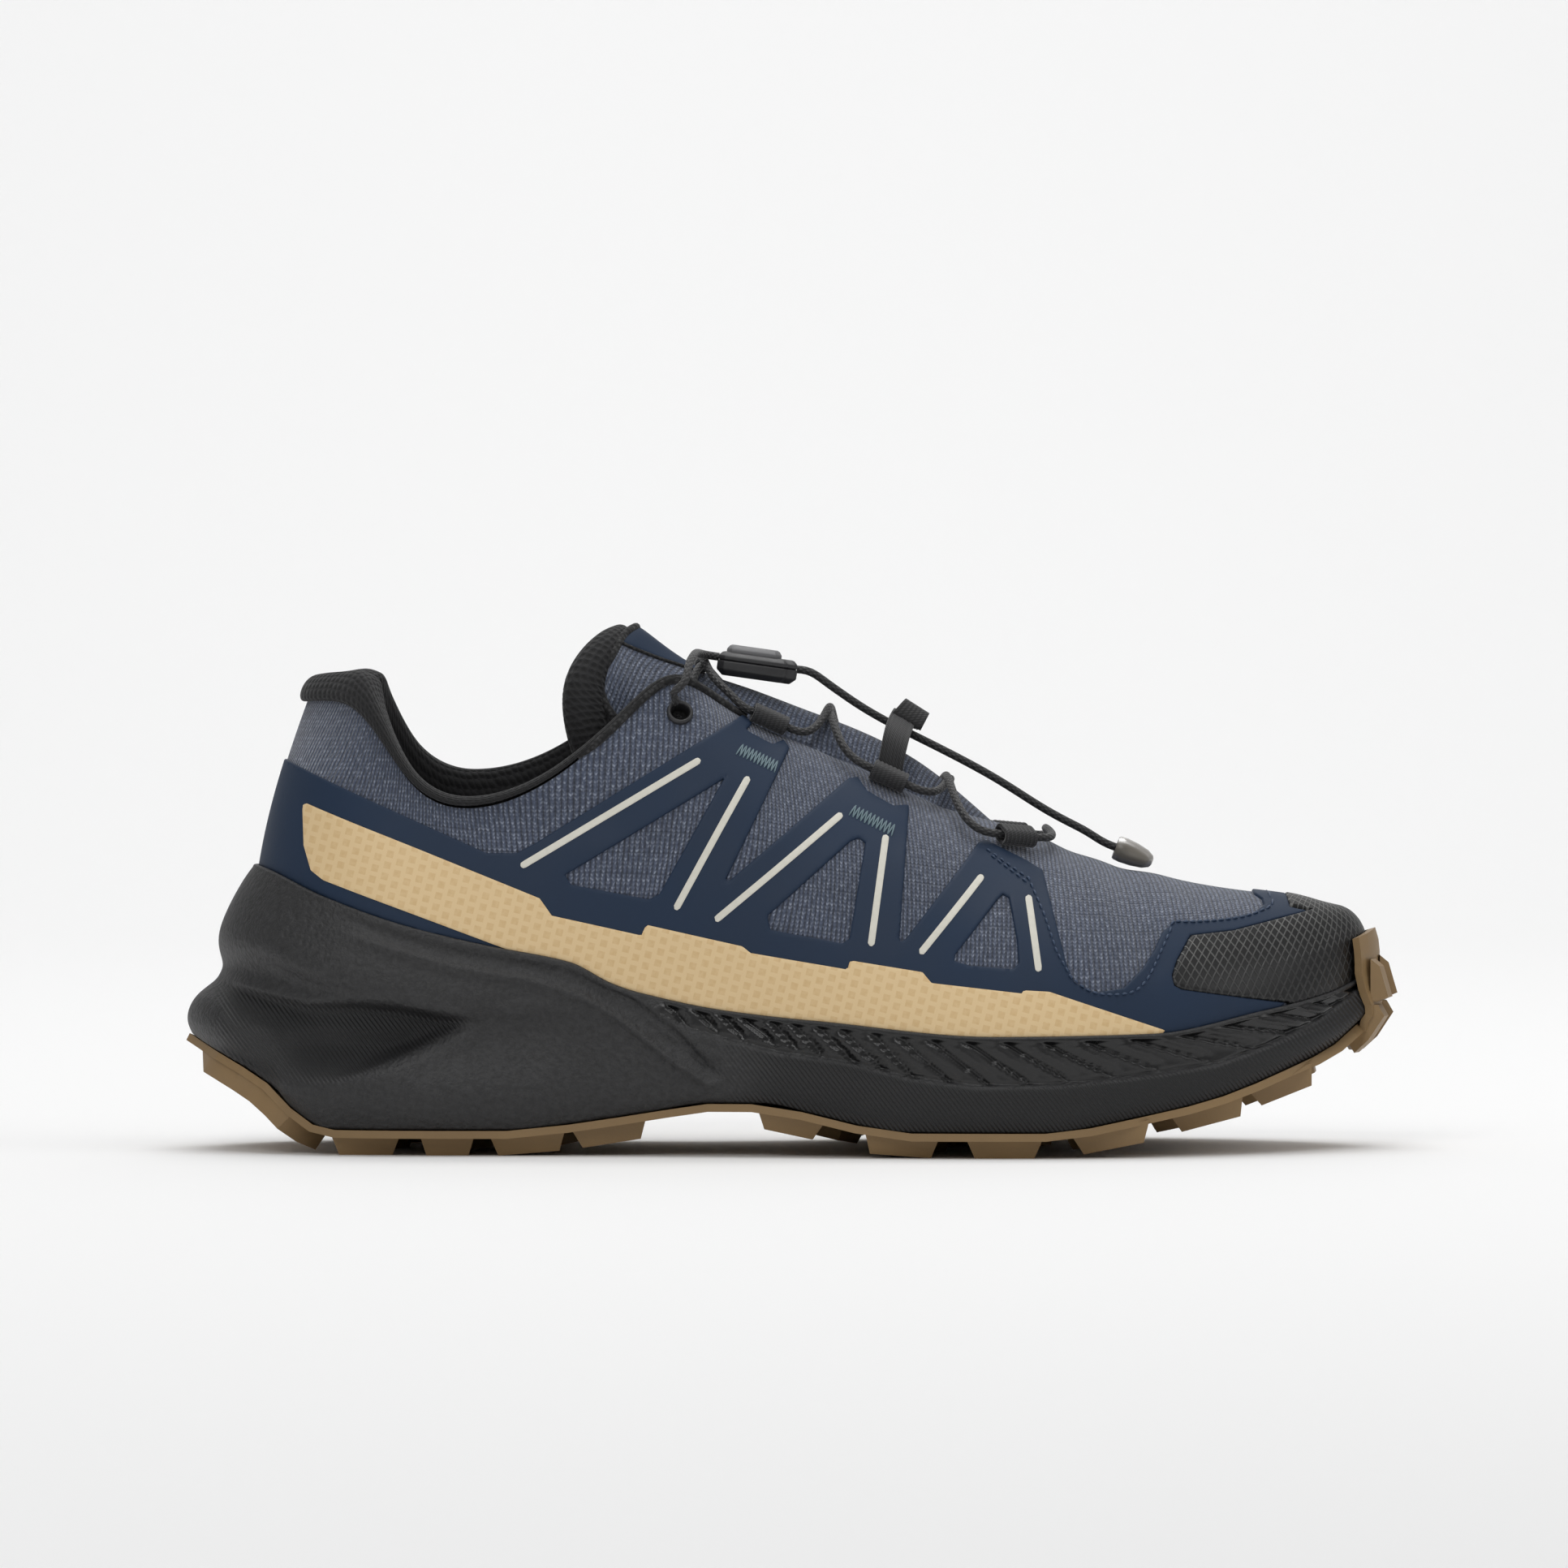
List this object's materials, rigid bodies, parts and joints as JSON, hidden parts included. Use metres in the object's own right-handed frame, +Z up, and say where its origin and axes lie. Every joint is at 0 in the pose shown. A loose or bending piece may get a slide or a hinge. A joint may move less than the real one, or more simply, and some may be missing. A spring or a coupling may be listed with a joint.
{
  "type": "trail running shoe",
  "caption": "Low trail running shoe with a knit upper, welded film on its sides, a cord-lock lacing, a flared foam midsole and a lugged rubber outsole.",
  "frame": {"origin": "on the floor, in the middle of the sole's length and width", "axes": "+X towards the toe, +Y towards the medial (inner) side, +Z up, standing on its lugs"},
  "size_m": [0.3004, 0.114, 0.1293],
  "materials": {
    "blue_grey_knit": "rib knit, matt",
    "navy_film": "welded film, satin",
    "sand_film": "printed film, satin",
    "black_cap_rubber": "cross-hatched, satin",
    "black_foam": "moulded EVA foam, matt",
    "brown_gum_rubber": "matt",
    "black_mesh": "spacer mesh, matt",
    "black_webbing": "woven, matt",
    "black_plastic": "moulded, satin",
    "smoky_plastic": "soft, slightly clear"
  },
  "bodies": {
    "root": {"collar_padding": "black_mesh", "free_lace_1": "black_webbing", "free_lace_2": "black_webbing", "insole": "black_mesh", "keeper_band": "black_webbing", "lace_bar": "black_webbing", "lace_crossing_1": "black_webbing", "lace_crossing_2": "black_webbing", "lace_lock": "black_plastic", "lateral_eyelet": "black_plastic", "lateral_loop_1": "black_webbing", "lateral_loop_2": "black_webbing", "lateral_loop_3": "black_webbing", "lateral_panel": "sand_film", "lateral_riser": "black_webbing", "medial_eyelet": "black_plastic", "medial_loop_1": "black_webbing", "medial_loop_2": "black_webbing", "medial_loop_3": "black_webbing", "medial_panel": "sand_film", "medial_riser": "black_webbing", "midsole": "black_foam", "outsole": "brown_gum_rubber", "pull_tab": "smoky_plastic", "side_film": "navy_film", "toe_cap": "black_cap_rubber", "tongue": "black_mesh", "upper": "blue_grey_knit"}
  },
  "joints": []
}
